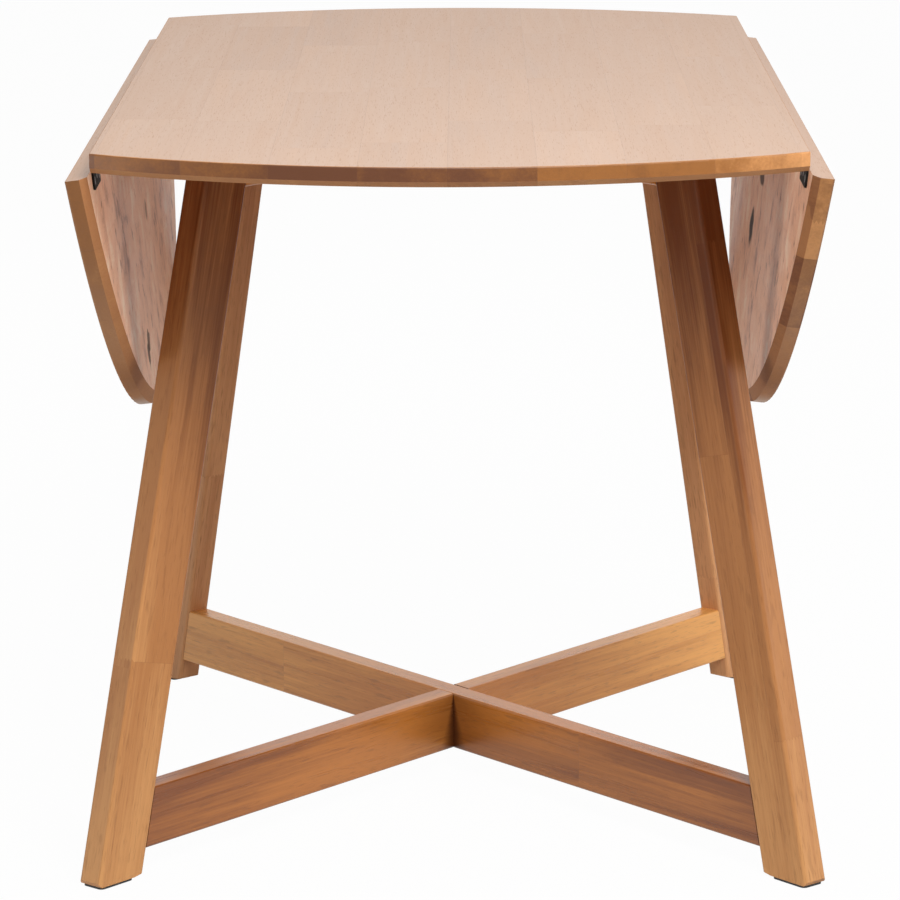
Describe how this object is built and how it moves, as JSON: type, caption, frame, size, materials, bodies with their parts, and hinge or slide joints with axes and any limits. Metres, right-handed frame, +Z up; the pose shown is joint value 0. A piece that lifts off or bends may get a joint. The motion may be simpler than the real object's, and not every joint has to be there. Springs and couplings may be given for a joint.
{
  "type": "drop-leaf table",
  "caption": "Round wooden table whose two side leaves fold down on hinges beside a fixed middle panel, on four splayed legs with crossed stretchers.",
  "frame": {"origin": "on the floor, under the centre of the round top", "axes": "+X towards the right-hand leaf, +Y from front to back along the straight joints, +Z up"},
  "size_m": [0.7424, 1.3, 0.757],
  "materials": {
    "top_wood": "satin",
    "base_wood": "satin",
    "dowel_wood": "matt",
    "pad_plastic": "matt",
    "black_steel": "satin",
    "screw_steel": "satin",
    "rivet_steel": "satin",
    "spring_steel": "satin"
  },
  "bodies": {
    "base": {"centre_panel": "top_wood", "leg_front_left": "base_wood", "leg_front_right": "base_wood", "leg_rear_left": "base_wood", "leg_rear_right": "base_wood", "stretcher_lower": "base_wood", "stretcher_upper": "base_wood", "top_rail_lower": "base_wood", "top_rail_upper": "base_wood", "foot_pads": "pad_plastic", "foot_pad_screws": "screw_steel", "stretcher_dowels": "dowel_wood", "top_rail_dowels": "dowel_wood", "lap_screws": "screw_steel", "top_rail_screws": "screw_steel", "left_hinge_panel_plates": "black_steel", "left_hinge_pins": "rivet_steel", "left_hinge_panel_screws": "screw_steel", "left_stay_panel_bracket": "black_steel", "left_stay_panel_pivot": "rivet_steel", "left_stay_panel_screws": "screw_steel", "right_hinge_panel_plates": "black_steel", "right_hinge_pins": "rivet_steel", "right_hinge_panel_screws": "screw_steel", "right_stay_panel_bracket": "black_steel", "right_stay_panel_pivot": "rivet_steel", "right_stay_panel_screws": "screw_steel"},
    "left_leaf": {"left_leaf": "top_wood", "left_hinge_leaf_plates": "black_steel", "left_hinge_leaf_screws": "screw_steel", "left_stay_leaf_bracket": "black_steel", "left_stay_leaf_pivot": "rivet_steel", "left_stay_leaf_screws": "screw_steel"},
    "left_stay_panel_arm": {"left_stay_panel_arm": "black_steel", "left_stay_knee_rivet": "rivet_steel"},
    "left_stay_leaf_arm": {"left_stay_leaf_arm": "black_steel", "left_stay_knee_spring": "spring_steel"},
    "right_leaf": {"right_leaf": "top_wood", "right_hinge_leaf_plates": "black_steel", "right_hinge_leaf_screws": "screw_steel", "right_stay_leaf_bracket": "black_steel", "right_stay_leaf_pivot": "rivet_steel", "right_stay_leaf_screws": "screw_steel"},
    "right_stay_panel_arm": {"right_stay_panel_arm": "black_steel", "right_stay_knee_rivet": "rivet_steel"},
    "right_stay_leaf_arm": {"right_stay_leaf_arm": "black_steel", "right_stay_knee_spring": "spring_steel"}
  },
  "joints": [
    {"name": "left_leaf_hinge", "type": "hinge", "parent": "base", "child": "left_leaf", "pos_m": [-0.3355, 0, 0.7338], "axis": [0, 1, 0], "range_deg": [0, 96.4]},
    {"name": "left_panel_arm_pivot", "type": "hinge", "parent": "base", "child": "left_stay_panel_arm", "pos_m": [-0.2795, 0, 0.7218], "axis": [0, 1, 0], "range_deg": [0, 96.4]},
    {"name": "left_leaf_arm_pivot", "type": "hinge", "parent": "left_leaf", "child": "left_stay_leaf_arm", "pos_m": [-0.31733, 0, 0.67949], "axis": [0, -1, 0], "range_deg": [0, 96.4]},
    {"name": "right_leaf_hinge", "type": "hinge", "parent": "base", "child": "right_leaf", "pos_m": [0.3355, 0, 0.7338], "axis": [0, -1, 0], "range_deg": [0, 96.4]},
    {"name": "right_panel_arm_pivot", "type": "hinge", "parent": "base", "child": "right_stay_panel_arm", "pos_m": [0.2795, 0, 0.7218], "axis": [0, -1, 0], "range_deg": [0, 96.4]},
    {"name": "right_leaf_arm_pivot", "type": "hinge", "parent": "right_leaf", "child": "right_stay_leaf_arm", "pos_m": [0.31733, 0, 0.67949], "axis": [0, 1, 0], "range_deg": [0, 96.4]}
  ],
  "couplings": [
    {"joint": "left_panel_arm_pivot", "follows": "left_leaf_hinge", "ratio": 1},
    {"joint": "left_leaf_arm_pivot", "follows": "left_leaf_hinge", "ratio": 1},
    {"joint": "right_panel_arm_pivot", "follows": "right_leaf_hinge", "ratio": 1},
    {"joint": "right_leaf_arm_pivot", "follows": "right_leaf_hinge", "ratio": 1}
  ]
}
